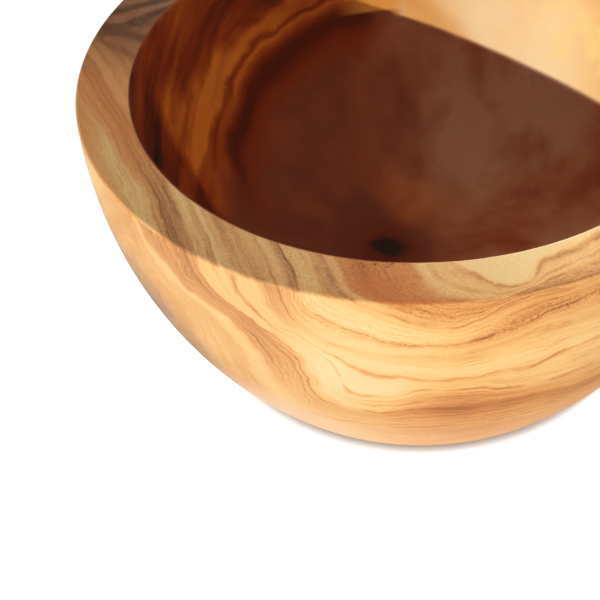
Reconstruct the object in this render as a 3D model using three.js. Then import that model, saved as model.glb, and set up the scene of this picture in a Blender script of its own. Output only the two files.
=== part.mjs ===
// Cereal bowl turned from one block of olive wood.
// Millimetres, +Z up. The origin is the centre of the flat underside, on the surface the bowl stands on.

import * as THREE from "three";

// Driving dimensions
const RIM_DIAMETER = 140; // across the outside of the rim
const HEIGHT = 62.5; // underside to rim
const RIM_WIDTH = 11.4; // flat top of the wall
const BASE_DIAMETER = 89; // where the wall's curve would meet the underside
const WALL_CURVE_RADIUS = 96.5; // outside of the wall, seen in section
const FLOOR_THICKNESS = 12; // wood left under the hollow
const COVE_RADIUS = 28; // from the hollow's floor up into its wall
const BASE_EDGE_RADIUS = 3; // rounding where the wall turns under
const RIM_OUTER_EDGE_RADIUS = 0.5; // sanded outer edge of the rim
const RIM_INNER_EDGE_RADIUS = 0.6; // sanded inner edge of the rim

// Fineness of the facets
const TURN_SEGMENTS = 80;
const WALL_STEPS = 12;
const COVE_STEPS = 7;
const EDGE_STEPS = 3;

const OLIVE_WOOD = new THREE.MeshStandardMaterial({
  name: "olive_wood",
  color: 0xc98d4e,
  roughness: 0.45,
  metalness: 0,
});

// Sections are drawn as (radius, height) pairs.

// Centre of the circle of a given radius through two points, on the side of the axis.
function arcCentre(low, high, radius) {
  const chord = high.clone().sub(low);
  const middle = low.clone().add(high).multiplyScalar(0.5);
  const towardsAxis = new THREE.Vector2(-chord.y, chord.x).normalize();
  const depth = Math.sqrt(radius ** 2 - chord.lengthSq() / 4);
  return middle.addScaledVector(towardsAxis, depth);
}

// Centre of a rounding at a known height, at a known distance from the wall's own centre.
function roundingCentre(wallCentre, distance, height) {
  const rise = height - wallCentre.y;
  return new THREE.Vector2(wallCentre.x + Math.sqrt(distance ** 2 - rise ** 2), height);
}

// Direction in which one point lies from another, as an angle from the horizontal.
function bearing(from, to) {
  return Math.atan2(to.y - from.y, to.x - from.x);
}

// Points along an arc, both ends included.
function arc(centre, radius, startAngle, endAngle, steps) {
  const points = [];
  for (let i = 0; i <= steps; i += 1) {
    const angle = THREE.MathUtils.lerp(startAngle, endAngle, i / steps);
    points.push(new THREE.Vector2(
      centre.x + radius * Math.cos(angle),
      centre.y + radius * Math.sin(angle),
    ));
  }
  return points;
}

// The section goes from the axis out along the underside, up the outside, over the rim,
// down the hollow and back along its floor to the axis.
function bowlSection() {
  const down = -Math.PI / 2;
  const up = Math.PI / 2;
  const wallCentre = arcCentre(
    new THREE.Vector2(BASE_DIAMETER / 2, 0),
    new THREE.Vector2(RIM_DIAMETER / 2, HEIGHT),
    WALL_CURVE_RADIUS,
  );
  // The hollow's wall is concentric with the outside and leaves the stated width at the rim.
  const rimInside = new THREE.Vector2(RIM_DIAMETER / 2 - RIM_WIDTH, HEIGHT);
  const hollowRadius = rimInside.distanceTo(wallCentre);

  const baseEdge = roundingCentre(wallCentre, WALL_CURVE_RADIUS - BASE_EDGE_RADIUS, BASE_EDGE_RADIUS);
  const outerEdge = roundingCentre(
    wallCentre,
    WALL_CURVE_RADIUS - RIM_OUTER_EDGE_RADIUS,
    HEIGHT - RIM_OUTER_EDGE_RADIUS,
  );
  const innerEdge = roundingCentre(
    wallCentre,
    hollowRadius + RIM_INNER_EDGE_RADIUS,
    HEIGHT - RIM_INNER_EDGE_RADIUS,
  );
  const cove = roundingCentre(wallCentre, hollowRadius - COVE_RADIUS, FLOOR_THICKNESS + COVE_RADIUS);

  const baseTurn = bearing(wallCentre, baseEdge);
  const outerTurn = bearing(wallCentre, outerEdge);
  const innerTurn = bearing(wallCentre, innerEdge);
  const coveTurn = bearing(wallCentre, cove);

  return [
    new THREE.Vector2(0, 0),
    ...arc(baseEdge, BASE_EDGE_RADIUS, down, baseTurn, EDGE_STEPS),
    ...arc(wallCentre, WALL_CURVE_RADIUS, baseTurn, outerTurn, WALL_STEPS).slice(1),
    ...arc(outerEdge, RIM_OUTER_EDGE_RADIUS, outerTurn, up, EDGE_STEPS).slice(1),
    ...arc(innerEdge, RIM_INNER_EDGE_RADIUS, up, Math.PI + innerTurn, EDGE_STEPS),
    ...arc(wallCentre, hollowRadius, innerTurn, coveTurn, WALL_STEPS).slice(1),
    ...arc(cove, COVE_RADIUS, coveTurn, down, COVE_STEPS).slice(1),
    new THREE.Vector2(0, FLOOR_THICKNESS),
  ];
}

// A lathe turns its section about Y, so the mesh is tipped to stand on Z.
function makeBowl() {
  const bowl = new THREE.Mesh(new THREE.LatheGeometry(bowlSection(), TURN_SEGMENTS), OLIVE_WOOD);
  bowl.name = "bowl";
  bowl.rotation.x = Math.PI / 2;
  return bowl;
}

const cerealBowl = new THREE.Group();
cerealBowl.name = "cereal_bowl";
cerealBowl.add(makeBowl());

export default cerealBowl;
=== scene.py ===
# Turned olive-wood cereal bowl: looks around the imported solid.
# Metres, +Z up, in the frame of the solid. The bowl, its wood and the camera are written in millimetres.

import math
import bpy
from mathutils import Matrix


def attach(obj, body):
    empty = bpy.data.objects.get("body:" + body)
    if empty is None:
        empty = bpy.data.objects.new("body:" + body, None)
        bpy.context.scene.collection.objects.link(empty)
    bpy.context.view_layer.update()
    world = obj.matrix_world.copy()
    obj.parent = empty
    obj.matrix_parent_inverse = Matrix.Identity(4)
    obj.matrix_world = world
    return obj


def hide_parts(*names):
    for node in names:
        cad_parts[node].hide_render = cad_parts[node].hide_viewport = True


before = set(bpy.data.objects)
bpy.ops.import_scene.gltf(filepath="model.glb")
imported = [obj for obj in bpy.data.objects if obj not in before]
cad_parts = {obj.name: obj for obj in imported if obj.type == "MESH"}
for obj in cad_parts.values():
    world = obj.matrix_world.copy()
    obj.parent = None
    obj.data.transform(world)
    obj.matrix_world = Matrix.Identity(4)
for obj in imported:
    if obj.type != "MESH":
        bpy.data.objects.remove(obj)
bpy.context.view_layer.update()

from types import SimpleNamespace

import bpy
from mathutils import Matrix, Vector

MM = 0.001
WHITE = (1.0, 1.0, 1.0, 1.0)

# Bowl sizes
RIM_RADIUS = 70.0
HEIGHT = 62.5
RIM_WIDTH = 11.4
BASE_RADIUS = 44.5
WALL_CURVE_RADIUS = 96.5
FLOOR_THICKNESS = 12.0
COVE_RADIUS = 28.0
BASE_EDGE_RADIUS = 3.0
RIM_OUTER_EDGE_RADIUS = 0.5
RIM_INNER_EDGE_RADIUS = 0.6

# Fineness of the turned mesh: steps round the bowl, and along each stretch of its section
TURN_SEGMENTS = 256
UNDERSIDE_STEPS = 16
EDGE_STEPS = 6
WALL_STEPS = 60
RIM_STEPS = 12
HOLLOW_STEPS = 40
COVE_STEPS = 24
FLOOR_STEPS = 10

# Camera, fitted to the rim's circles in the photograph, with its angles in radians
CAMERA_PLACE = (0.0, -334.277, 299.449)
CAMERA_YAW = -0.08049
CAMERA_PITCH = 0.72735
CAMERA_ROLL = -0.05837
FOCAL_PIXELS = 2000.0
FRAME_PIXELS = 600.0
SENSOR_WIDTH = 36.0

# Floor, in metres: its colour for light and for the eye, its white glow for the eye, and how far the bowl
# shades that glow where it stands
FLOOR_HALF = 30.0
FLOOR_COLOUR = (0.85, 0.85, 0.85, 1.0)
FLOOR_COLOUR_SEEN = (0.40, 0.40, 0.40, 1.0)
FLOOR_GLOW = 0.86
CONTACT_REACH = 0.0018

# Lamps, in metres, degrees and watts: a low sun as key, a card in front, a kicker from behind,
# and a narrow beam along the key on the far wall of the hollow
KEY_TOWARDS = 45.0
KEY_ELEVATION = 16.0
KEY_STRENGTH = 1.76
KEY_SPREAD = 0.6
CARD_PLACE = (0.24, -0.42, 0.03)
CARD_SIZE = (0.5, 0.06)
CARD_POWER = 0.88
KICKER_PLACE = (-0.25, 0.45, 0.45)
KICKER_TARGET = (0.052, -0.045, 0.0625)
KICKER_POWER = 26.0
KICKER_ANGLE = 13.0
KICKER_RADIUS = 0.05
BEAM_TARGET = (0.025, 0.045, 0.048)
BEAM_DISTANCE = 6.0
BEAM_POWER = 260.0
BEAM_ANGLE = 1.2
BEAM_RADIUS = 0.031

# The world's strength, as a ramp from overhead to the horizon by the height of the direction
WORLD_STRENGTH = (0.62, 0.30, 0.30, 0.38)

# Wood colours, from pale sapwood to brown growth lines, each with its place on the tone scale
WOOD_TONES = (
    (0.00, (0.905, 0.680, 0.320)),
    (0.25, (0.920, 0.545, 0.195)),
    (0.50, (0.755, 0.335, 0.094)),
    (0.75, (0.430, 0.145, 0.036)),
    (1.00, (0.150, 0.045, 0.014)),
)

# The back of the rim, from the light wood between the dark strokes to the strokes
STROKE_COLOURS = (
    (0.00, (0.470, 0.245, 0.120)),
    (0.40, (0.270, 0.105, 0.043)),
    (1.00, (0.050, 0.018, 0.009)),
)

# Heartwood colours, from the lightest flames to the black of a knot
HEART_TONES = (
    (0.00, (0.800, 0.250, 0.030)),
    (0.30, (0.500, 0.110, 0.012)),
    (0.60, (0.300, 0.044, 0.006)),
    (0.85, (0.140, 0.018, 0.004)),
    (1.00, (0.015, 0.008, 0.007)),
)

# Tints laid over the wood, some of them painted reflection, sheen, light or shade: the largest share of
# each, and its colour
PEACH = (0.60, (0.96, 0.69, 0.385))
HONEY = (0.60, (0.90, 0.40, 0.085))
YELLOW = (0.70, (0.97, 0.72, 0.260))
STRIP = (0.80, (0.80, 0.52, 0.330))
RED = (1.00, (0.62, 0.175, 0.035))
RUSSET = (0.32, (0.64, 0.21, 0.040))
WARM = (0.30, (0.78, 0.36, 0.080))
ORANGE = (0.60, (0.78, 0.215, 0.042))
CREAM = (0.60, (0.90, 0.73, 0.400))
# Painted reflection of the white floor, pale pink, low on the wall and on its left
FLOOR_REFLECTION_PINK = (1.00, (0.93, 0.64, 0.430))
# Painted shade, greyish, low on the left of the wall
PAINTED_SHADE_GREY = (0.95, (0.37, 0.235, 0.145))
BEIGE = (0.12, (0.78, 0.56, 0.280))
PIT = (0.85, (0.10, 0.040, 0.020))
# Painted sheen, a greyish reflection of the lit far wall on the floor of the hollow
PAINTED_SHEEN = (1.00, (0.46, 0.235, 0.138))
# Painted light, orange, beside the lit part of the far wall
PAINTED_LIGHT_ORANGE = (1.00, (0.86, 0.36, 0.070))

# Five kinds of tuple place the wood's figure below:
# a noise is its features per mm, octaves and, where it isn't 0.5, roughness;
# a sway is its features per mm, octaves and reach;
# a ramp is where it starts and ends, and the values there, which are 0 and 1 if left out;
# a layer is its centre and how far it fades below and above;
# a blob is its centre, its radii and the share of them that is full.


class Field:
    """A number or a vector that varies through the wood."""

    def __init__(self, nodes, socket):
        self.nodes = nodes
        self.socket = socket

    def __add__(self, other):
        return self.nodes.math("ADD", self, other)

    def __radd__(self, other):
        return self.nodes.math("ADD", other, self)

    def __sub__(self, other):
        return self.nodes.math("SUBTRACT", self, other)

    def __rsub__(self, other):
        return self.nodes.math("SUBTRACT", other, self)

    def __mul__(self, other):
        return self.nodes.math("MULTIPLY", self, other)

    def __rmul__(self, other):
        return self.nodes.math("MULTIPLY", other, self)

    def __truediv__(self, other):
        return self.nodes.math("DIVIDE", self, other)


class Nodes:
    """Short ways to add nodes to one tree."""

    def __init__(self, tree):
        self.tree = tree

    def feed(self, socket, value):
        if isinstance(value, Field):
            self.tree.links.new(value.socket, socket)
        else:
            socket.default_value = value

    def add(self, kind, output, inputs, **settings):
        node = self.tree.nodes.new(kind)
        for name, value in settings.items():
            setattr(node, name, value)
        for name, value in inputs.items():
            self.feed(node.inputs[name], value)
        return Field(self, node.outputs[output])

    def math(self, operation, *values):
        return self.add("ShaderNodeMath", 0, dict(enumerate(values)), operation=operation)

    def vector(self, operation, *values):
        return self.add("ShaderNodeVectorMath", 0, dict(enumerate(values)), operation=operation)

    def scaled(self, vector, factor):
        return self.add("ShaderNodeVectorMath", 0, {0: vector, "Scale": factor}, operation="SCALE")

    def length(self, vector):
        return self.add("ShaderNodeVectorMath", "Value", {0: vector}, operation="LENGTH")

    # The vector without its height
    def flat(self, vector):
        return self.vector("MULTIPLY", vector, (1.0, 1.0, 0.0))

    def combine(self, x, y, z):
        return self.add("ShaderNodeCombineXYZ", 0, {"X": x, "Y": y, "Z": z})

    def split(self, vector):
        node = self.tree.nodes.new("ShaderNodeSeparateXYZ")
        self.feed(node.inputs[0], vector)
        return [Field(self, output) for output in node.outputs]

    def raw_noise(self, output, vector, scale, octaves, roughness=0.5):
        inputs = {"Vector": vector, "Scale": scale, "Detail": octaves, "Roughness": roughness}
        return self.add("ShaderNodeTexNoise", output, inputs)

    # Noise about zero, within half either way
    def noise(self, vector, scale, octaves=2.0, roughness=0.5):
        return self.raw_noise("Fac", vector, scale, octaves, roughness) - 0.5

    # Noise about zero in each direction, within half the reach
    def sway(self, vector, scale, octaves, reach):
        colour = self.raw_noise("Color", vector, scale, octaves)
        return self.scaled(self.vector("SUBTRACT", colour, (0.5, 0.5, 0.5)), reach)

    # Goes smoothly from the first value at start to the last at end, whichever of the two is larger
    def smooth(self, value, start, end, first=0.0, last=1.0):
        inputs = {"Value": value, "From Min": start, "From Max": end, "To Min": first, "To Max": last}
        return self.add("ShaderNodeMapRange", 0, inputs, interpolation_type="SMOOTHSTEP")

    # 1 at the centre, falling to 0 at the given distances below and above it
    def line(self, value, centre, below, above):
        return self.smooth(value, centre - below, centre) * self.smooth(value, centre + above, centre)

    # 1 inside an ellipsoid, falling to 0 over its outer part
    def blob(self, point, centre, radii, core):
        offset = self.vector("SUBTRACT", point, centre)
        reach = self.vector("DIVIDE", offset, radii)
        return self.smooth(self.length(reach), 1.0, core)

    # Smooth curve through given points, level beyond the first and the last
    def curve(self, value, points):
        places = [place for place, height in points]
        heights = [height for place, height in points]
        first, span = places[0], places[-1] - places[0]
        low, rise = min(heights), max(heights) - min(heights)
        node = self.tree.nodes.new("ShaderNodeFloatCurve")
        curve = node.mapping.curves[0]
        while len(curve.points) < len(points):
            curve.points.new(0.5, 0.5)
        for point, place, height in zip(curve.points, places, heights):
            point.location = ((place - first) / span, (height - low) / rise)
        node.mapping.update()
        self.feed(node.inputs["Value"], (value - first) / span)
        return Field(self, node.outputs[0]) * rise + low

    def mix(self, share, first, second):
        return self.add("ShaderNodeMix", 2, {0: share, 6: first, 7: second}, data_type="RGBA")

    def tint(self, base, share, tint):
        strength, colour = tint
        return self.mix(share * strength, base, (*colour, 1.0))

    def tones(self, value, stops):
        node = self.tree.nodes.new("ShaderNodeValToRGB")
        ramp = node.color_ramp
        while len(ramp.elements) < len(stops):
            ramp.elements.new(0.5)
        for element, (place, colour) in zip(ramp.elements, stops):
            element.position = place
            element.color = (*colour, 1.0)
        self.feed(node.inputs[0], value)
        return Field(self, node.outputs[0])


# The growth layers lie in a fold: near-level to the right of it, steep to the left.
# across runs from the fold to the right, inward from the front wall, lift up the wall.
FOLD_ALONG = (0.906, 0.423)
FOLD_SHIFT = 46.6
FRONT_RADIUS = 68.0
LAYER_DIP = 0.7
LAYER_BEND = 0.0071

# Growth lines right of the fold: level and course, as (across, lift)
LAYER_LINES = (
    (22, ((-30, 25), (0, 23.5), (12, 23), (25, 22), (45, 22), (70, 20), (120, 26))),
    (33, ((-30, 38), (0, 36), (6, 34.5), (14, 32.2), (22, 33.5), (32, 33), (44, 32.5), (56, 30.5),
          (80, 32), (120, 38))),
    (38, ((-30, 42), (0, 38.5), (8, 36.5), (14, 36.5), (20, 38), (28, 38), (34, 36.2), (42, 35.8),
          (56, 35.5), (80, 38), (120, 46))),
    (41.5, ((-30, 50), (2, 45.5), (7, 43.8), (10, 42.2), (15, 42), (19, 41), (27, 41.2), (33, 42.6),
            (37, 42), (43, 43.6), (50, 44.2), (80, 44), (120, 53))),
    (47.5, ((-30, 56), (4, 49), (13, 47.5), (20, 47.5), (27, 48.7), (34, 50.2), (40, 51.4), (50, 50.5),
            (80, 51), (120, 60))),
    (51, ((-30, 64), (0, 57), (5, 54), (9, 52.5), (13, 50.7), (19, 50.4), (26, 51.2), (31, 52.8),
          (37, 54.4), (43, 56), (52, 56.4), (80, 58), (120, 67))),
    (56, ((-30, 68), (6, 61), (12, 58), (16, 55.8), (22, 54.8), (26, 56), (30, 58.4), (34, 60),
          (39, 60.5), (44, 59.4), (52, 59.6), (80, 63), (120, 72))),
    (61, ((-30, 76), (10, 67), (20, 62.6), (27, 60.8), (33, 61.2), (40, 62.2), (52, 63), (80, 68),
          (120, 78))),
    (64, ((-30, 84), (20, 72), (26, 68.2), (29, 66), (32, 63.6), (36, 62.8), (39, 64), (42, 65.8),
          (46, 66.4), (54, 67.2), (80, 74), (120, 84))),
)
THINNEST_GAP = 0.5

# Left of the fold: where the level-33 line runs, as (lift, across), and how levels grow away from it
FOLD_LINE = (
    (0, 28), (20, 14), (34, 4.5), (40, 1.8), (44, -0.5), (47, -3.4), (49.5, -7.6), (52, -10.8),
    (56, -13.4), (60, -14.4), (66, -13.6), (73, -12.8), (80, -12.2), (100, -11),
)
FOLD_LEVELS = (
    (-40, -19), (0, 33), (13.5, 51), (19.5, 56), (33, 61), (39, 64), (60, 72), (140, 100),
)
FOLD_ROUNDING = 3.0


def growth_level(nodes, point):
    x, y, z = nodes.split(point)
    across = x * FOLD_ALONG[0] + y * FOLD_ALONG[1] + FOLD_SHIFT
    back = y * FOLD_ALONG[0] - x * FOLD_ALONG[1]
    chord = across - FOLD_SHIFT
    front = nodes.math("SQRT", nodes.math("MAXIMUM", FRONT_RADIUS ** 2 - chord * chord, 0.0))
    inward = back + front
    lift = z + inward * (LAYER_DIP - inward * LAYER_BEND)

    courses = [nodes.curve(across, points) for level, points in LAYER_LINES]
    levels = [level for level, points in LAYER_LINES]
    level_right = nodes.math("MINIMUM", lift - courses[0], 0.0) + levels[0]
    for k in range(len(levels) - 1):
        gap = nodes.math("MAXIMUM", courses[k + 1] - courses[k], THINNEST_GAP)
        inputs = {"Value": (lift - courses[k]) / gap, "To Max": float(levels[k + 1] - levels[k])}
        level_right = level_right + nodes.add("ShaderNodeMapRange", 0, inputs)
    level_right = level_right + nodes.math("MAXIMUM", lift - courses[-1], 0.0)

    level_left = nodes.curve(across - nodes.curve(lift, FOLD_LINE), FOLD_LEVELS)
    level = nodes.math("SMOOTH_MIN", level_left, level_right, FOLD_ROUNDING)
    return level, across, inward


# Places in the wood: place is the point itself, and x, y and z are those of the point swayed by noise
BROAD_SWAY = (0.06, 1.0, 2.0)
CLOSE_SWAY = (0.25, 2.0, 1.2)
RIM_FACE = (HEIGHT - 0.7, HEIGHT - 0.1)
HOLLOW_ROOM = ((0.0, 0.0, HEIGHT), (68.0, 68.0, 62.0), 0.97)
HOLLOW_MOUTH = (59.5, 59.0)
FRONT = (34.0, 8.0)
BACK_RIM = ((-56.0, 30.0, HEIGHT), (28.0, 39.0, 24.0), 0.45)
BLOTCH_NOISE = (0.05, 2.0)
PATCH_NOISE = (0.13, 2.0)
SPECKLE_NOISE = (1.5, 2.0)


def wood_chart(nodes):
    place = nodes.scaled(nodes.add("ShaderNodeTexCoord", "Object", {}), 1.0 / MM)
    point = nodes.vector("ADD", place, nodes.sway(place, *BROAD_SWAY))
    point = nodes.vector("ADD", point, nodes.sway(place, *CLOSE_SWAY))
    wood = SimpleNamespace(place=place, point=point)
    wood.x, wood.y, wood.z = nodes.split(point)
    wood.straight_x, _, wood.height = nodes.split(place)
    wood.radius = nodes.length(nodes.flat(place))
    wood.rim_face = nodes.smooth(wood.height, *RIM_FACE)
    wood.hollow = nodes.blob(place, *HOLLOW_ROOM) * nodes.smooth(wood.radius, *HOLLOW_MOUTH)
    wood.front = nodes.smooth(wood.y, *FRONT)
    wood.back_rim = nodes.blob(place, *BACK_RIM) * wood.rim_face
    wood.level, wood.across, wood.inward = growth_level(nodes, point)
    wood.blotches = nodes.noise(place, *BLOTCH_NOISE)
    wood.patches = nodes.noise(place, *PATCH_NOISE)
    wood.speckle = nodes.noise(place, *SPECKLE_NOISE)
    return wood


# Noises drawn out along the layers: changes per level, per mm across and per mm inwards,
# then octaves and roughness
STREAK_NOISE = (0.45, 0.03, 0.02, 3.0, 0.6)
FINE_NOISE = (2.0, 0.10, 0.06, 2.0, 0.6)
RIDGE_NOISE = (0.55, 0.015, 0.01, 2.0, 0.7)
HAIR_NOISE = (1.1, 0.02, 0.012, 2.0, 0.6)
PORE_NOISE = (4.0, 1.7, 1.7, 1.0, 0.5)
RIDGE_WIDTH = 0.035
HAIR_WIDTH = 0.05
PORE_EDGE = (-0.02, 0.14)

# Where growth lines break off, how much of them is left there, and how much of the hairs is left
# where the lines are whole
LONG_BREAK_NOISE = (0.11, 2.0)
LONG_BREAKS = (-0.14, 0.10)
SHORT_BREAK_NOISE = (0.22, 2.0)
SHORT_BREAKS = (-0.20, 0.10, 0.4, 1.0)
LINE_LEFT = 0.4
HAIR_LEFT = 0.3

# Growth lines: layer, and how dark it is
DARK_LINES = (
    ((24.4, 0.3, 0.3), 0.10), ((26.0, 0.35, 0.35), 0.17), ((27.2, 0.3, 0.3), 0.12),
    ((28.4, 0.35, 0.35), 0.15), ((29.6, 0.3, 0.3), 0.12), ((30.9, 0.35, 0.35), 0.18),
    ((32.4, 0.4, 0.4), 0.20), ((38.0, 0.5, 0.6), 0.30), ((47.3, 0.6, 0.8), 0.16),
    ((50.8, 0.4, 0.5), 0.26), ((53.6, 0.5, 0.6), 0.18), ((56.0, 0.6, 0.7), 0.26),
    ((58.2, 0.5, 0.6), 0.20), ((61.0, 0.5, 0.5), 0.20), ((62.2, 0.4, 0.4), 0.18),
    ((63.8, 0.8, 0.7), 0.28),
)

# One line starts beside the fold
SHORT_LINE = (41.4, 0.5, 0.6)
SHORT_LINE_DARKNESS = (1.0, 5.0, 0.0, 0.34)


def layer_noise(nodes, wood, per_level, per_across, per_inward, octaves, roughness):
    drawn_out = nodes.combine(wood.level * per_level, wood.across * per_across, wood.inward * per_inward)
    return nodes.noise(drawn_out, 1.0, octaves, roughness)


# Thin lines where a noise passes through zero
def crossings(nodes, noise, width):
    return nodes.smooth(nodes.math("ABSOLUTE", noise), width, 0.0)


# Streaks, growth lines and pores
def add_figure(nodes, wood):
    whole = nodes.smooth(nodes.noise(wood.place, *LONG_BREAK_NOISE), *LONG_BREAKS)
    wood.streaks = layer_noise(nodes, wood, *STREAK_NOISE)
    wood.fine = layer_noise(nodes, wood, *FINE_NOISE)
    wood.ridges = crossings(nodes, layer_noise(nodes, wood, *RIDGE_NOISE), RIDGE_WIDTH) * whole
    hairs = crossings(nodes, layer_noise(nodes, wood, *HAIR_NOISE), HAIR_WIDTH)
    wood.hairs = hairs * (1.0 - whole * (1.0 - HAIR_LEFT))
    wood.pores = nodes.smooth(layer_noise(nodes, wood, *PORE_NOISE), *PORE_EDGE)
    lines = nodes.line(wood.level, *SHORT_LINE) * nodes.smooth(wood.across, *SHORT_LINE_DARKNESS)
    for layer, darkness in DARK_LINES:
        lines = lines + nodes.line(wood.level, *layer) * darkness
    lines = lines * (whole * (1.0 - LINE_LEFT) + LINE_LEFT)
    wood.lines = lines * nodes.smooth(nodes.noise(wood.place, *SHORT_BREAK_NOISE), *SHORT_BREAKS)


# Tone of the wood by growth level: on the wall left of the fold, beside it and far right of it,
# and on the rim
LEFT_TONES = (
    (-20, 0.45), (4, 0.40), (8, 0.46), (12, 0.44), (15, 0.36), (20, 0.38), (22, 0.18), (23.5, 0.26),
    (25.5, 0.50), (27.5, 0.55), (28.8, 0.45), (30, 0.54), (31.8, 0.54), (33.2, 0.32), (35, 0.18),
    (37, 0.22), (38.2, 0.36), (39.5, 0.22), (42, 0.26), (44, 0.34), (47, 0.50), (49.5, 0.46), (52, 0.32),
    (60, 0.36), (100, 0.36),
)
NEAR_TONES = (
    (-20, 0.36), (0, 0.26), (16, 0.15), (22, 0.14), (26, 0.21), (29, 0.26), (30.5, 0.32), (32, 0.17),
    (34, 0.03), (36, 0.04), (38.8, -0.03), (40, 0.02), (41.3, 0.14), (42.5, 0.05), (45, 0.07),
    (47.2, 0.18), (49, 0.11), (50.3, 0.20), (51.5, 0.09), (53, 0.04), (54.3, 0.15), (55.8, 0.26),
    (58, 0.30), (61, 0.32), (64, 0.20), (70, 0.10), (100, 0.20),
)
FAR_TONES = (
    (-20, 0.40), (0, 0.36), (15, 0.34), (20, 0.36), (23, 0.40), (26, 0.42), (28.5, 0.46), (30.5, 0.56),
    (32.5, 0.64), (33.6, 0.57), (34.3, 0.48), (35.3, 0.52), (37, 0.34), (38.5, 0.27), (41, 0.26),
    (42.5, 0.18), (45, 0.20), (46.5, 0.30), (48, 0.36), (49.5, 0.38), (50.8, 0.46), (52, 0.46), (54, 0.40),
    (58.5, 0.38), (61, 0.34), (63, 0.33), (64.5, 0.16), (70, 0.12), (100, 0.20),
)
RIM_TONES = (
    (-20, 0.38), (15, 0.33), (19, 0.28), (21.5, 0.30), (23.5, 0.26), (25, 0.19), (26.3, 0.22), (27.4, 0.34),
    (29, 0.42), (30.6, 0.64), (32.3, 0.62), (33.3, 0.42), (34.5, 0.28), (35.8, 0.32), (36.3, 0.50),
    (37.2, 0.26), (38.3, 0.30), (39.3, 0.40), (41, 0.49), (43, 0.50), (45, 0.43), (46.5, 0.40),
    (48.3, 0.32), (49.3, 0.38), (50.2, 0.55), (51.2, 0.38), (52.5, 0.28), (53.7, 0.32), (54.8, 0.50),
    (55.6, 0.56), (56.6, 0.36), (57.4, 0.54), (58.5, 0.54), (60, 0.48), (61, 0.44), (61.8, 0.30),
    (63.6, 0.32), (64.6, 0.12), (66.5, 0.10), (70, 0.12), (100, 0.30),
)

# Where the courses meet, in mm across, and the level above which the near one reaches further right
LEFT_TO_NEAR = (-7.0, 2.0)
NEAR_TO_FAR = (2.0, 26.0)
NEAR_WIDENS_FROM = 40.0
NEAR_WIDENS_BY = 0.9

# How far the figure darkens or lightens the tone
STREAK_DEPTH = 0.36
FINE_DEPTH = 0.26
PORE_DEPTH = 0.14
SPECKLE_DEPTH = 0.08
SPECKLE_DEPTH_ON_RIM = 0.22
BLOTCH_DEPTH_BY_LEVEL = (30.0, 20.0, 0.2, 0.5)
RIDGE_DEPTH_BY_ACROSS = (-6.0, 10.0, 0.072, 0.18)
HAIR_DEPTH_BY_ACROSS = (12.0, -6.0, 0.07, 0.20)
STREAK_DEPTH_ON_RIM_BY_ACROSS = (2.0, -12.0, 0.0, 0.45)
POROUS_LAYERS = ((51.5, 3.0, 3.0), (58.5, 3.0, 4.0))
POROUS_ELSEWHERE = 0.2

# Calm wood, where the figure is weaker: the right of the rim, the top layer and the low ones
CALM_RIM_BY_ACROSS = (-14.0, 6.0, 0.0, 0.5)
LIVELY_BELOW_TOP = (64.5, 66.0, 1.0, 0.4)
LIVELY_ABOVE_LOW = (20.0, 30.0, 0.4, 1.0)

# The far wall inside the hollow: pale in the middle and darker towards both ends, by x
FAR_SIDE_TONE = 0.14
FAR_SIDE_LEFT_END = (14.0, 0.0)
FAR_SIDE_RIGHT_END = (30.0, 46.0)
FAR_SIDE_END_DEPTH = 0.16
FAR_SIDE_PATCH_DEPTH = 0.9
FAR_SIDE_DARKEST = 0.36
TONE_ROUNDING = 0.1


# Tone by level, blended from the courses left of the fold, beside it and far from it
def layer_tone(nodes, wood):
    left = nodes.curve(wood.level, LEFT_TONES)
    near = nodes.curve(wood.level, NEAR_TONES)
    far = nodes.curve(wood.level, FAR_TONES)
    widened = nodes.math("MAXIMUM", wood.level - NEAR_WIDENS_FROM, 0.0) * NEAR_WIDENS_BY
    right = near + (far - near) * nodes.smooth(wood.across - widened, *NEAR_TO_FAR)
    wall = left + (right - left) * nodes.smooth(wood.across, *LEFT_TO_NEAR)
    return wall + (nodes.curve(wood.level, RIM_TONES) - wall) * wood.rim_face


def far_side_tone(nodes, wood):
    tone = wood.far_ends * FAR_SIDE_END_DEPTH + FAR_SIDE_TONE
    tone = tone + (wood.blotches + wood.patches) * FAR_SIDE_PATCH_DEPTH
    return nodes.math("SMOOTH_MIN", tone, FAR_SIDE_DARKEST, TONE_ROUNDING)


def sapwood_tone(nodes, wood):
    lively = (1.0 - wood.hollow) * (1.0 - wood.rim_face * nodes.smooth(wood.across, *CALM_RIM_BY_ACROSS))
    lively = lively * nodes.smooth(wood.level, *LIVELY_BELOW_TOP)
    lively = lively * nodes.smooth(wood.level, *LIVELY_ABOVE_LOW)
    figure = wood.streaks * STREAK_DEPTH + wood.fine * FINE_DEPTH
    figure = figure + wood.ridges * nodes.smooth(wood.across, *RIDGE_DEPTH_BY_ACROSS)
    figure = figure + wood.hairs * nodes.smooth(wood.across, *HAIR_DEPTH_BY_ACROSS)
    porous = POROUS_ELSEWHERE
    for layer in POROUS_LAYERS:
        porous = porous + nodes.line(wood.level, *layer)

    tone = layer_tone(nodes, wood) + figure * lively + wood.lines * (1.0 - wood.hollow)
    tone = tone + wood.blotches * nodes.smooth(wood.level, *BLOTCH_DEPTH_BY_LEVEL)
    tone = tone + wood.speckle * (wood.rim_face * SPECKLE_DEPTH_ON_RIM + SPECKLE_DEPTH)
    tone = tone + wood.pores * porous * PORE_DEPTH
    rim_streaks = wood.streaks * nodes.smooth(wood.across, *STREAK_DEPTH_ON_RIM_BY_ACROSS)
    tone = tone + rim_streaks * wood.rim_face
    return tone + (far_side_tone(nodes, wood) - tone) * wood.hollow


# Far wall inside the hollow: peach in the middle, honey patches at the ends, yellow ones on the right,
# and one pale strip
HONEY_PATCHES = (0.16, -0.14)
YELLOW_PATCHES = (-0.08, 0.16)
YELLOW_RIGHT = (22.0, 34.0)
STRIP_ACROSS = (-3.6, 1.0, 1.0)


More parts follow.
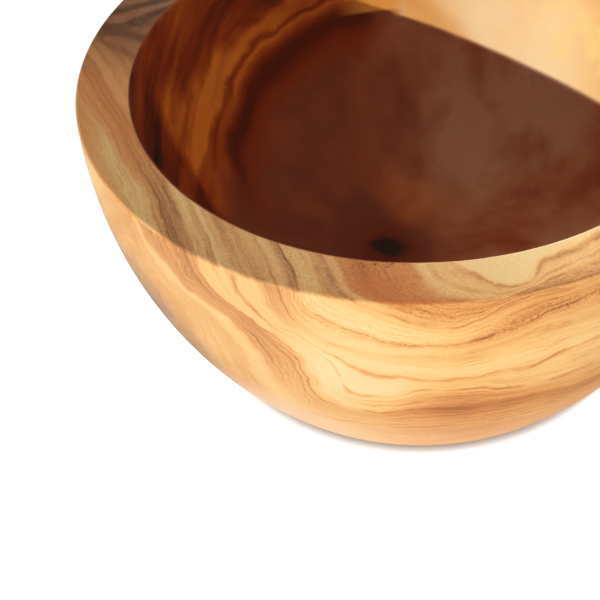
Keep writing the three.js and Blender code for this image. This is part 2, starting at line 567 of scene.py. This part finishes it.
def tint_far_side(nodes, wood, colour):
    colour = nodes.tint(colour, wood.hollow * (1.0 - wood.far_ends), PEACH)
    honey = wood.hollow * wood.far_ends * nodes.smooth(wood.patches, *HONEY_PATCHES)
    colour = nodes.tint(colour, honey, HONEY)
    back_wall = wood.hollow * (1.0 - wood.front)
    yellow = nodes.smooth(wood.straight_x, *YELLOW_RIGHT) * nodes.smooth(wood.patches, *YELLOW_PATCHES)
    colour = nodes.tint(colour, back_wall * yellow, YELLOW)
    return nodes.tint(colour, back_wall * nodes.line(wood.x, *STRIP_ACROSS), STRIP)


# Front of the bowl: redder layers at the rim, russet and warm ones low on the right
RUDDY_FROM_LEVEL = (56.4, 57.4)
RUDDY_TO_LEVEL = (61.8, 60.4)
RUDDY_RIGHT = (44.0, 22.0)
RUDDY_SHARE = 0.25
RUDDY_SHARE_ON_RIM = 0.25
RUDDY_PATCHES = (-0.16, 0.10)
RUDDY_PATCH_SPECKLE = 0.5
RUDDY_PATCH_SHARE = (24.0, 8.0, 0.0, 0.45)
RUSSET_LAYER = (32.0, 5.0, 4.0)
RUSSET_RIGHT = (8.0, 36.0)
WARM_TO_LEVEL = (37.0, 31.0)
WARM_RIGHT = (24.0, 50.0)


def ruddy_layers(nodes, wood):
    ruddy = nodes.smooth(wood.level, *RUDDY_FROM_LEVEL) * nodes.smooth(wood.level, *RUDDY_TO_LEVEL)
    return ruddy * nodes.smooth(wood.across, *RUDDY_RIGHT)


def tint_front(nodes, wood, colour):
    patchy = nodes.smooth(wood.patches + wood.speckle * RUDDY_PATCH_SPECKLE, *RUDDY_PATCHES)
    patchy = patchy * nodes.smooth(wood.across, *RUDDY_PATCH_SHARE)
    red = wood.ruddy * (wood.rim_face * RUDDY_SHARE_ON_RIM + RUDDY_SHARE + patchy)
    colour = nodes.tint(colour, red, RED)
    off_rim = 1.0 - wood.rim_face
    russet = nodes.line(wood.level, *RUSSET_LAYER) * nodes.smooth(wood.across, *RUSSET_RIGHT)
    colour = nodes.tint(colour, russet * off_rim, RUSSET)
    warm = nodes.smooth(wood.level, *WARM_TO_LEVEL) * nodes.smooth(wood.across, *WARM_RIGHT)
    return nodes.tint(colour, warm * off_rim, WARM)


# Back of the rim: dark strokes on mauve wood, each with its y at the inner edge, its drift in y per mm
# outwards, its half width and its darkness
BACK_STROKES = (
    (6.0, 0.75, 2.0, 0.50), (13.0, 0.50, 2.8, 0.75), (25.0, -0.95, 3.2, 0.80), (20.0, -0.25, 3.0, 0.40),
    (31.0, -0.65, 2.6, 0.75), (38.0, -0.50, 3.0, 0.75),
)
BACK_TONE = 0.40
BACK_STREAK_DEPTH = 0.6
BACK_SPECKLE_DEPTH = 0.3
BACK_SHARE = 0.9

# Left of the rim: orange wood, with one olive layer left clear of it
ORANGE_RIM = ((-66.0, -8.0, HEIGHT), (30.0, 46.0, 20.0), 0.3)
ORANGE_LOST_AT_BACK = 0.8
OLIVE_LAYER = (24.8, 4.0, 2.6)
OLIVE_FRONT = (-8.0, -26.0)


def tint_left_rim(nodes, wood, colour):
    tone = wood.streaks * BACK_STREAK_DEPTH + wood.speckle * BACK_SPECKLE_DEPTH + BACK_TONE
    outwards = wood.radius - (RIM_RADIUS - RIM_WIDTH)
    for start, drift, half_width, darkness in BACK_STROKES:
        from_centre = wood.y - (outwards * drift + start)
        tone = tone + nodes.line(from_centre, 0.0, half_width, half_width) * darkness
    colour = nodes.mix(wood.back_rim * BACK_SHARE, colour, nodes.tones(tone, STROKE_COLOURS))
    olive = nodes.line(wood.level, *OLIVE_LAYER) * nodes.smooth(wood.y, *OLIVE_FRONT)
    orange = nodes.blob(wood.place, *ORANGE_RIM) * wood.rim_face * (1.0 - olive)
    return nodes.tint(colour, orange * (1.0 - wood.back_rim * ORANGE_LOST_AT_BACK), ORANGE)


# Wall: cream in one layer beside the fold, a paler pink low down and on the left that is painted reflection
# of the white floor, and a greyish patch low on the left that is painted shade
CREAM_PLACE = ((-12.0, -65.0, 39.5), (15.0, 9.0, 9.0), 0.4)
CREAM_FROM_LEVEL = (33.2, 34.4)
CREAM_TO_LEVEL = (41.8, 40.6)
CREAM_BETWEEN_LINES = (0.12, 0.02)
REFLECTION_SHARE_BY_ACROSS = (16.0, -4.0, 0.0, 0.10)
REFLECTION_SHARE_BY_HEIGHT = (28.0, 6.0, 0.0, 0.28)
FLOOR_REFLECTION_PLACE = ((-27.0, -46.0, 10.0), (29.0, 26.0, 22.0), 0.1)
FLOOR_REFLECTION_SHARE = 0.5
LEFT_SHADE_PLACE = ((-51.0, -30.0, 24.0), (23.0, 26.0, 31.0), 0.4)
SHADE_SHARE_BY_STREAKS = (-0.3, 0.1, 0.5, 1.0)


def tint_wall(nodes, wood, colour):
    cream = nodes.smooth(wood.level, *CREAM_FROM_LEVEL) * nodes.smooth(wood.level, *CREAM_TO_LEVEL)
    cream = cream * nodes.blob(wood.place, *CREAM_PLACE) * nodes.smooth(wood.lines, *CREAM_BETWEEN_LINES)
    colour = nodes.tint(colour, cream, CREAM)
    # Painted reflection of the white floor: paler and pinker on the left and low down
    floor_reflection = nodes.smooth(wood.across, *REFLECTION_SHARE_BY_ACROSS) * (1.0 - wood.rim_face)
    floor_reflection = floor_reflection + nodes.smooth(wood.height, *REFLECTION_SHARE_BY_HEIGHT)
    colour = nodes.tint(colour, floor_reflection + nodes.blob(wood.place, *FLOOR_REFLECTION_PLACE) * FLOOR_REFLECTION_SHARE, FLOOR_REFLECTION_PINK)
    # Painted shade: a greyish patch low on the left of the wall, broken up by the streaks
    left_shade = nodes.blob(wood.place, *LEFT_SHADE_PLACE) * nodes.smooth(wood.streaks, *SHADE_SHARE_BY_STREAKS)
    return nodes.tint(colour, left_shade, PAINTED_SHADE_GREY)


# Rim: a little beige except at its back, and pits at the inner edge in front
BEIGE_RIGHT = (-26.0, -12.0)
PIT_PLACE = ((-7.0, -59.3, HEIGHT), (5.0, 1.3, 3.0), 0.6)
PIT_NOISE = (1.3, 1.0)
PIT_EDGE = (0.06, 0.12)


def tint_rim(nodes, wood, colour):
    beige = wood.rim_face * nodes.smooth(wood.across, *BEIGE_RIGHT)
    beige = beige * (1.0 - wood.ruddy) * (1.0 - wood.back_rim)
    colour = nodes.tint(colour, beige, BEIGE)
    return nodes.tint(colour, wood.pits, PIT)


def sapwood_colour(nodes, wood):
    colour = nodes.tones(sapwood_tone(nodes, wood), WOOD_TONES)
    for tint in (tint_far_side, tint_front, tint_left_rim, tint_wall, tint_rim):
        colour = tint(nodes, wood, colour)
    return colour


# Where the heart lies inside the hollow: up to the rim on the left, low on the other sides. The low part is
# heartwood and painted shade: its edge, as (x, z), follows the key light's shadow line on the far wall, so
# that the wood below it is darker. Each end of the two ramps is a value at the back, and what the front adds
# to it.
SHADOW_LINE_EDGE = (
    (-20, 44.5), (-10, 41.5), (0, 38.6), (10, 35.4), (20, 32.9), (30, 31.3), (40, 31.1), (50, 32.5),
    (58, 36),
)
HEART_LEFT = ((-3.0, 6.0), (-6.5, -7.0))
HEART_AND_SHADE_LOW = ((0.8, 2.2), (-0.4, -2.2))
WANDER_NOISE = (0.05, 1.0)
WANDER_REACH = 26.0


def add_heart_places(nodes, wood):
    wander = nodes.noise(wood.place, *WANDER_NOISE) * wood.front * WANDER_REACH
    left_ends = [wood.front * added + value for value, added in HEART_LEFT]
    low_ends = [wood.front * added + value for value, added in HEART_AND_SHADE_LOW]
    over_shadow_line = wood.height - nodes.curve(wood.straight_x, SHADOW_LINE_EDGE) + wander
    wood.heart_left = nodes.smooth(wood.x + wander, *left_ends)
    # The low part is heartwood and painted shade below the key light's shadow line
    wood.heart = wood.hollow * nodes.math("MAXIMUM", wood.heart_left, nodes.smooth(over_shadow_line, *low_ends))


# Left of the hollow: the course of a dark band, as (y, z), how far the streaks above it spread, by y,
# and the heartwood's tone by height above the band
HOLLOW_LINE = (
    (-20, 7), (0, 12.5), (10, 16.5), (17, 19.6), (22, 22.8), (30, 28), (38, 34), (43, 36.4), (49, 38.9),
    (53, 40.3), (60, 42),
)
STREAK_SPREAD = ((-20, 1.6), (12, 1.4), (18, 1.2), (24, 0.85), (34, 0.53), (43, 0.42), (60, 0.34))
HOLLOW_TONES = (
    (-20, 0.54), (-9, 0.57), (-5, 0.62), (-2, 0.78), (0, 0.88), (2, 0.76), (3.2, 0.56), (4.4, 0.34),
    (6.2, 0.24), (8.2, 0.54), (9.6, 0.46), (11.5, 0.16), (15, 0.08), (19, 0.20), (23, 0.44), (27, 0.60),
    (34, 0.66), (45, 0.58), (70, 0.68),
)
SPREAD_FROM = 4.0
DARK_BAND_THINNED_BY_Y = (28.0, 16.0, 1.0, 1.5)
DRIFT_NOISE = (0.07, 3.0)
DRIFT_HEIGHT = 4.0
WAVE_NOISE = (0.11, 3.0, 0.55)
WAVE_HEIGHT_BY_ABOVE = (3.0, 9.0, 0.0, 8.0)

# Flames: changes per mm above the layer, of y and of x, and their depth by rise
FLAME_RATES = (0.17, 0.05, 0.03)
FLAME_DEPTH = (1.0, 8.0, 0.0, 1.3)

# Dark tips at the front end of the flames, by y and by rise
TIP_Y = (9.0, 5.0)
TIP_DRIFT = 6.0
TIP_SHIFT = (7.0, 11.0, 0.0, 3.5)
TIP_TOP = (32.0, 22.0)
TIP_DEPTH = (1.0, 4.0, 0.0, 0.45)

# Where the wall's figure ends above the floor, and where the dark band's lower edge still shows
WALL_FROM_RISE = (2.0, 8.0)
DARK_EDGE_RISE = (-9.0, -3.0)
DARK_EDGE_Y = (4.0, 26.0)
DARK_EDGE_X = (-4.0, -14.0)


# Tone of the flames and the dark band, and the share of the heartwood that they take
def hollow_wall(nodes, wood):
    drift = nodes.noise(wood.point, *DRIFT_NOISE)
    above = wood.z - nodes.curve(wood.y, HOLLOW_LINE) + drift * DRIFT_HEIGHT
    waves = nodes.noise(wood.point, *WAVE_NOISE) * nodes.smooth(above, *WAVE_HEIGHT_BY_ABOVE)
    spread = nodes.math("MAXIMUM", above + waves - SPREAD_FROM, 0.0) / nodes.curve(wood.y, STREAK_SPREAD)
    thinned = nodes.smooth(wood.y, *DARK_BAND_THINNED_BY_Y)
    rise = nodes.math("MINIMUM", above, SPREAD_FROM) * thinned + spread

    per_above, per_y, per_x = FLAME_RATES
    flames = nodes.noise(nodes.combine(above * per_above, wood.y * per_y, wood.x * per_x), 1.0)
    tips = nodes.smooth(wood.y + drift * TIP_DRIFT - nodes.smooth(rise, *TIP_SHIFT), *TIP_Y)
    tips = tips * nodes.smooth(rise, *TIP_TOP)
    tone = nodes.curve(rise, HOLLOW_TONES) + flames * nodes.smooth(rise, *FLAME_DEPTH)
    tone = tone + tips * nodes.smooth(rise, *TIP_DEPTH)

    dark_edge = nodes.smooth(rise, *DARK_EDGE_RISE) * nodes.smooth(wood.y, *DARK_EDGE_Y)
    dark_edge = dark_edge * nodes.smooth(wood.x, *DARK_EDGE_X)
    share = nodes.math("MAXIMUM", nodes.smooth(rise, *WALL_FROM_RISE), dark_edge)
    return tone, share * wood.heart_left


# Floor of the hollow: clouds, rays from a knot, a light and a dark spot, and the knot in its shade.
# Its tone lightens to the right, which is painted reflection of the lit far wall.
KNOT_PLACE = (-7.0, 5.0, 12.0)
RAY_NOISE_ROUND = 1.5
RAY_NOISE_OUTWARDS = 0.06
RAYS_LOST_AT_KNOT = (KNOT_PLACE, (20.0, 20.0, 14.0), 0.2)
CLOUD_NOISE = (0.06, 3.0)
FLOOR_TONE = 0.62
FLOOR_FIGURE_DEPTH = 0.6
# Painted reflection of the lit far wall: the floor is lighter to the right
FLOOR_LIGHTER_RIGHT = (-8.0, 34.0, 0.0, 0.14)
FLOOR_DARKER_LEFT = (6.0, -22.0, 0.0, 0.08)
LIGHT_SPOT = ((-3.0, 22.0, 12.0), (11.0, 10.0, 12.0), 0.6)
LIGHT_SPOT_DEPTH = 0.14
DARK_SPOT = ((-13.0, 16.0, 12.0), (8.0, 13.0, 12.0), 0.2)
DARK_SPOT_DEPTH = 0.30
KNOT_SHADE = (KNOT_PLACE, (17.0, 13.0, 12.0), 0.0)
KNOT_SHADE_DEPTH = 0.40
FLOOR_DARKEST = 0.80
KNOT = (KNOT_PLACE, (9.0, 8.4, 12.0), 0.0)
KNOT_NOISE = (0.25, 2.0)
KNOT_RAGGED = 0.7
KNOT_EDGE = (0.25, 1.10)
KNOT_DEPTH = 0.30

# Painted sheen on the floor, a greyish reflection of the lit far wall: wisps of the clouds and rays,
# more of them to the right, and a spot of it near the lit part
WISPS = (-0.28, 0.30)
SHEEN_EVERYWHERE = 0.17
SHEEN_TURN = 0.3
SHEEN_RIGHT = (-10.0, 34.0, 0.0, 0.68)
SHEEN_FRONT = (-36.0, 4.0, 0.3, 1.0)
SHEEN_SPOT = ((19.0, 39.0, 18.0), (26.0, 24.0, 24.0), 0.1)
SHEEN_SPOT_SHARE = 0.35
SHEEN_SPOT_WISP_SHARE = 0.8
CLEAR_AT_KNOT = (KNOT_PLACE, (14.0, 14.0, 14.0), 0.2)
CLEARED_SHARE = 0.8


# Tone of the floor, and the share of painted sheen on it
def hollow_floor(nodes, wood):
    offset = nodes.vector("SUBTRACT", wood.point, KNOT_PLACE)
    spoke = nodes.scaled(nodes.vector("NORMALIZE", nodes.flat(offset)), RAY_NOISE_ROUND)
    rays = nodes.noise(nodes.vector("ADD", spoke, nodes.scaled(offset, RAY_NOISE_OUTWARDS)), 1.0)
    rays = rays * (1.0 - nodes.blob(wood.point, *RAYS_LOST_AT_KNOT))
    figure = nodes.noise(wood.point, *CLOUD_NOISE) + rays

    tone = FLOOR_TONE - figure * FLOOR_FIGURE_DEPTH
    # Lighter to the right: painted reflection of the lit far wall
    tone = tone - nodes.smooth(wood.x, *FLOOR_LIGHTER_RIGHT) + nodes.smooth(wood.x, *FLOOR_DARKER_LEFT)
    tone = tone - nodes.blob(wood.point, *LIGHT_SPOT) * LIGHT_SPOT_DEPTH
    tone = tone + nodes.blob(wood.point, *DARK_SPOT) * DARK_SPOT_DEPTH
    tone = tone + nodes.blob(wood.point, *KNOT_SHADE) * KNOT_SHADE_DEPTH
    ragged = nodes.noise(wood.point, *KNOT_NOISE) * KNOT_RAGGED
    knot = nodes.smooth(nodes.blob(wood.point, *KNOT) + ragged, *KNOT_EDGE)
    tone = nodes.math("SMOOTH_MIN", tone, FLOOR_DARKEST, TONE_ROUNDING) + knot * KNOT_DEPTH

    wisps = nodes.smooth(figure, *WISPS)
    sheen_spot = nodes.blob(wood.point, *SHEEN_SPOT) * (wisps * SHEEN_SPOT_WISP_SHARE + SHEEN_SPOT_SHARE)
    sheen_share = wisps * nodes.smooth(wood.x + wood.y * SHEEN_TURN, *SHEEN_RIGHT) + sheen_spot + SHEEN_EVERYWHERE
    sheen_share = sheen_share * (1.0 - nodes.blob(wood.point, *CLEAR_AT_KNOT) * CLEARED_SHARE)
    return tone, sheen_share * nodes.smooth(wood.y, *SHEEN_FRONT)


# Painted light: a dim orange glow on the heartwood left of the pale strip, beside the top of the lit part of
# the far wall
PAINTED_LIGHT_HEIGHT = (41.2, 42.2)
PAINTED_LIGHT_Y = (46.0, 51.0)
PAINTED_LIGHT_X = (-20.0, -10.0)


def heartwood_colour(nodes, wood):
    wall, wall_share = hollow_wall(nodes, wood)
    floor, sheen_share = hollow_floor(nodes, wood)
    colour = nodes.tones(floor + (wall - floor) * wall_share, HEART_TONES)
    # Painted sheen: a greyish reflection of the lit far wall laid over the floor
    colour = nodes.tint(colour, sheen_share * (1.0 - wall_share), PAINTED_SHEEN)
    # Painted light: a dim orange glow beside the lit part of the far wall
    painted_light = nodes.smooth(wood.height, *PAINTED_LIGHT_HEIGHT) * nodes.smooth(wood.y, *PAINTED_LIGHT_Y)
    return nodes.tint(colour, painted_light * nodes.smooth(wood.x, *PAINTED_LIGHT_X), PAINTED_LIGHT_ORANGE)


# Surface of the wood
ROUGHNESS = 0.58
ROUGHNESS_FINE = 0.12
ROUGHNESS_PORES = 0.10
ROUGHNESS_HEART = 0.12
SPECULAR_LEVEL = 0.26
RELIEF_STRENGTH = 0.25
RELIEF_DEPTH = 0.1
RELIEF_FINE = 0.6
RELIEF_PITS = 3.0


def olive_wood():
    material = bpy.data.materials.new("olive_wood")
    material.use_nodes = True
    nodes = Nodes(material.node_tree)
    shader = material.node_tree.nodes["Principled BSDF"]

    wood = wood_chart(nodes)
    add_figure(nodes, wood)
    add_heart_places(nodes, wood)
    left_end = nodes.smooth(wood.straight_x, *FAR_SIDE_LEFT_END)
    wood.far_ends = left_end + nodes.smooth(wood.straight_x, *FAR_SIDE_RIGHT_END)
    wood.ruddy = ruddy_layers(nodes, wood)
    pits = nodes.smooth(nodes.noise(wood.place, *PIT_NOISE), *PIT_EDGE)
    wood.pits = pits * nodes.blob(wood.place, *PIT_PLACE)

    # The heart mask carries painted shade below the key light's shadow line on the far wall
    colour = nodes.mix(wood.heart, sapwood_colour(nodes, wood), heartwood_colour(nodes, wood))
    roughness = wood.fine * ROUGHNESS_FINE + wood.pores * ROUGHNESS_PORES + wood.heart * ROUGHNESS_HEART
    relief = wood.fine * RELIEF_FINE - wood.pores - wood.pits * RELIEF_PITS
    bump = {"Strength": RELIEF_STRENGTH, "Distance": RELIEF_DEPTH * MM, "Height": relief}
    nodes.feed(shader.inputs["Base Color"], colour)
    nodes.feed(shader.inputs["Roughness"], roughness + ROUGHNESS)
    nodes.feed(shader.inputs["Normal"], nodes.add("ShaderNodeBump", 0, bump))
    shader.inputs["Specular IOR Level"].default_value = SPECULAR_LEVEL
    return material


# Centre of the circle of a given radius through two points, on the side of the axis
def arc_centre(low, high, radius):
    chord = high - low
    middle = (low + high) / 2
    towards_axis = Vector((-chord.y, chord.x)).normalized()
    return middle + towards_axis * math.sqrt(radius ** 2 - chord.length_squared / 4)


# Centre of a rounding at a known height, at a known distance from the wall's own centre
def rounding_centre(wall_centre, distance, height):
    rise = height - wall_centre.y
    return Vector((wall_centre.x + math.sqrt(distance ** 2 - rise ** 2), height))


def bearing(start, end):
    return math.atan2(end.y - start.y, end.x - start.x)


# Shares from 0 to 1, close together at both ends, where edges are to stay crisp
def eased(steps):
    return [(1 - math.cos(math.pi * i / steps)) / 2 for i in range(steps + 1)]


def arc(centre, radius, start, end, steps):
    angles = [start + (end - start) * share for share in eased(steps)]
    return [Vector((centre.x + radius * math.cos(a), centre.y + radius * math.sin(a))) for a in angles]


def line(start, end, steps):
    return [start.lerp(end, share) for share in eased(steps)]


# The section in (radius, height): from beside the axis out along the underside, up the outside,
# over the rim, down the hollow and back along its floor
def bowl_section():
    wall_centre = arc_centre(Vector((BASE_RADIUS, 0)), Vector((RIM_RADIUS, HEIGHT)), WALL_CURVE_RADIUS)
    hollow_radius = (Vector((RIM_RADIUS - RIM_WIDTH, HEIGHT)) - wall_centre).length
    base_edge = rounding_centre(wall_centre, WALL_CURVE_RADIUS - BASE_EDGE_RADIUS, BASE_EDGE_RADIUS)
    outer_edge = rounding_centre(
        wall_centre, WALL_CURVE_RADIUS - RIM_OUTER_EDGE_RADIUS, HEIGHT - RIM_OUTER_EDGE_RADIUS)
    inner_edge = rounding_centre(
        wall_centre, hollow_radius + RIM_INNER_EDGE_RADIUS, HEIGHT - RIM_INNER_EDGE_RADIUS)
    cove = rounding_centre(wall_centre, hollow_radius - COVE_RADIUS, FLOOR_THICKNESS + COVE_RADIUS)
    down, up = -math.pi / 2, math.pi / 2
    base_turn, outer_turn = bearing(wall_centre, base_edge), bearing(wall_centre, outer_edge)
    inner_turn, cove_turn = bearing(wall_centre, inner_edge), bearing(wall_centre, cove)
    return (
        line(Vector((0, 0)), Vector((base_edge.x, 0)), UNDERSIDE_STEPS)[1:-1]
        + arc(base_edge, BASE_EDGE_RADIUS, down, base_turn, EDGE_STEPS)
        + arc(wall_centre, WALL_CURVE_RADIUS, base_turn, outer_turn, WALL_STEPS)[1:]
        + arc(outer_edge, RIM_OUTER_EDGE_RADIUS, outer_turn, up, EDGE_STEPS)[1:]
        + line(Vector((outer_edge.x, HEIGHT)), Vector((inner_edge.x, HEIGHT)), RIM_STEPS)[1:]
        + arc(inner_edge, RIM_INNER_EDGE_RADIUS, up, math.pi + inner_turn, EDGE_STEPS)[1:]
        + arc(wall_centre, hollow_radius, inner_turn, cove_turn, HOLLOW_STEPS)[1:]
        + arc(cove, COVE_RADIUS, cove_turn, down, COVE_STEPS)[1:]
        + line(Vector((cove.x, FLOOR_THICKNESS)), Vector((0, FLOOR_THICKNESS)), FLOOR_STEPS)[1:-1]
    )


# The section turned about Z, closed on the axis at its first and last points
def turned_mesh(name, section, segments):
    vertices, faces = [], []
    for point in section:
        for i in range(segments):
            angle = 2 * math.pi * i / segments
            vertices.append((point.x * math.cos(angle) * MM, point.x * math.sin(angle) * MM, point.y * MM))
    for row in range(len(section) - 1):
        for i in range(segments):
            j = (i + 1) % segments
            a, b = row * segments, (row + 1) * segments
            faces.append((a + i, a + j, b + j, b + i))
    for height, row, flip in ((0.0, 0, True), (FLOOR_THICKNESS, len(section) - 1, False)):
        centre = len(vertices)
        vertices.append((0.0, 0.0, height * MM))
        for i in range(segments):
            j = (i + 1) % segments
            pair = (row * segments + i, row * segments + j)
            faces.append((centre, *(reversed(pair) if flip else pair)))
    mesh = bpy.data.meshes.new(name)
    mesh.from_pydata(vertices, [], faces)
    mesh.shade_smooth()
    return mesh


def add_to_scene(name, data):
    item = bpy.data.objects.new(name, data)
    bpy.context.scene.collection.objects.link(item)
    return item


def make_camera():
    forward = Vector((
        math.sin(CAMERA_YAW) * math.cos(CAMERA_PITCH),
        math.cos(CAMERA_YAW) * math.cos(CAMERA_PITCH),
        -math.sin(CAMERA_PITCH)))
    right = forward.cross(Vector((0, 0, 1))).normalized()
    up = right.cross(forward)
    rolled_right = right * math.cos(CAMERA_ROLL) + up * math.sin(CAMERA_ROLL)
    rolled_up = up * math.cos(CAMERA_ROLL) - right * math.sin(CAMERA_ROLL)
    data = bpy.data.cameras.new("camera")
    data.sensor_width = SENSOR_WIDTH
    data.lens = SENSOR_WIDTH * FOCAL_PIXELS / FRAME_PIXELS
    camera = add_to_scene("camera", data)
    axes = Matrix((rolled_right, rolled_up, -forward)).transposed().to_4x4()
    camera.matrix_world = Matrix.Translation(Vector(CAMERA_PLACE) * MM) @ axes
    bpy.context.scene.camera = camera


def make_bowl():
    bowl = add_to_scene("turned_bowl", turned_mesh("turned_bowl", bowl_section(), TURN_SEGMENTS))
    bowl.data.materials.append(olive_wood())
    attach(bowl, "root")
    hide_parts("bowl")


# 1 for the rays that see the white background: the camera's, and those of gloss and glass
def background_rays(nodes):
    path = nodes.tree.nodes.new("ShaderNodeLightPath")
    names = ("Is Camera Ray", "Is Glossy Ray", "Is Transmission Ray")
    camera, glossy, through = [Field(nodes, path.outputs[name]) for name in names]
    return nodes.math("MINIMUM", camera + glossy + through, 1.0)


# A pale floor with a white glow that the bowl shades where it stands
def make_floor():
    mesh = bpy.data.meshes.new("floor")
    corners = [(-FLOOR_HALF, -FLOOR_HALF, 0), (FLOOR_HALF, -FLOOR_HALF, 0),
               (FLOOR_HALF, FLOOR_HALF, 0), (-FLOOR_HALF, FLOOR_HALF, 0)]
    mesh.from_pydata(corners, [], [(0, 1, 2, 3)])
    floor = add_to_scene("floor", mesh)
    material = bpy.data.materials.new("floor")
    material.use_nodes = True
    nodes = Nodes(material.node_tree)
    material.node_tree.nodes.remove(material.node_tree.nodes["Principled BSDF"])
    seen = background_rays(nodes)
    matt = nodes.add("ShaderNodeBsdfDiffuse", 0, {"Color": nodes.mix(seen, FLOOR_COLOUR, FLOOR_COLOUR_SEEN)})
    contact = nodes.add("ShaderNodeAmbientOcclusion", "AO", {"Distance": CONTACT_REACH})
    glow = nodes.add("ShaderNodeEmission", 0, {"Strength": seen * contact * FLOOR_GLOW})
    both = nodes.add("ShaderNodeAddShader", 0, {0: matt, 1: glow})
    nodes.feed(material.node_tree.nodes["Material Output"].inputs["Surface"], both)
    mesh.materials.append(material)


def aim(lamp, towards):
    lamp.rotation_mode = "QUATERNION"
    lamp.rotation_quaternion = Vector(towards).to_track_quat("-Z", "Y")


# Direction in which the key light travels
def key_course():
    turn, tilt = math.radians(KEY_TOWARDS), math.radians(KEY_ELEVATION)
    return Vector((math.cos(turn) * math.cos(tilt), math.sin(turn) * math.cos(tilt), -math.sin(tilt)))


def make_key():
    data = bpy.data.lights.new("key", "SUN")
    data.energy = KEY_STRENGTH
    data.angle = math.radians(KEY_SPREAD)
    aim(add_to_scene("key", data), key_course())


def make_spot(name, place, target, power, angle, radius):
    data = bpy.data.lights.new(name, "SPOT")
    data.energy = power
    data.spot_size = math.radians(angle)
    data.spot_blend = 1.0
    data.shadow_soft_size = radius
    lamp = add_to_scene(name, data)
    lamp.location = place
    aim(lamp, target - place)


# A low card in front, no higher than the rim, so that it lights the outside alone
def make_card():
    data = bpy.data.lights.new("card", "AREA")
    data.shape = "RECTANGLE"
    data.size, data.size_y = CARD_SIZE
    data.energy = CARD_POWER
    card = add_to_scene("card", data)
    card.location = CARD_PLACE
    aim(card, (-CARD_PLACE[0], -CARD_PLACE[1], 0.0))


def make_world():
    world = bpy.data.worlds.new("world")
    bpy.context.scene.world = world
    world.use_nodes = True
    nodes = Nodes(world.node_tree)
    direction = nodes.split(nodes.add("ShaderNodeTexCoord", "Generated", {}))
    background = world.node_tree.nodes["Background"]
    nodes.feed(background.inputs["Strength"], nodes.smooth(direction[2], *WORLD_STRENGTH))
    background.inputs["Color"].default_value = WHITE


def make_light():
    make_world()
    make_key()
    make_card()
    kicker_place, kicker_target = Vector(KICKER_PLACE), Vector(KICKER_TARGET)
    make_spot("kicker", kicker_place, kicker_target, KICKER_POWER, KICKER_ANGLE, KICKER_RADIUS)
    beam_target = Vector(BEAM_TARGET)
    beam_place = beam_target - key_course() * BEAM_DISTANCE
    make_spot("beam", beam_place, beam_target, BEAM_POWER, BEAM_ANGLE, BEAM_RADIUS)


make_camera()
make_bowl()
make_floor()
make_light()
bpy.context.scene.view_settings.view_transform = "Standard"
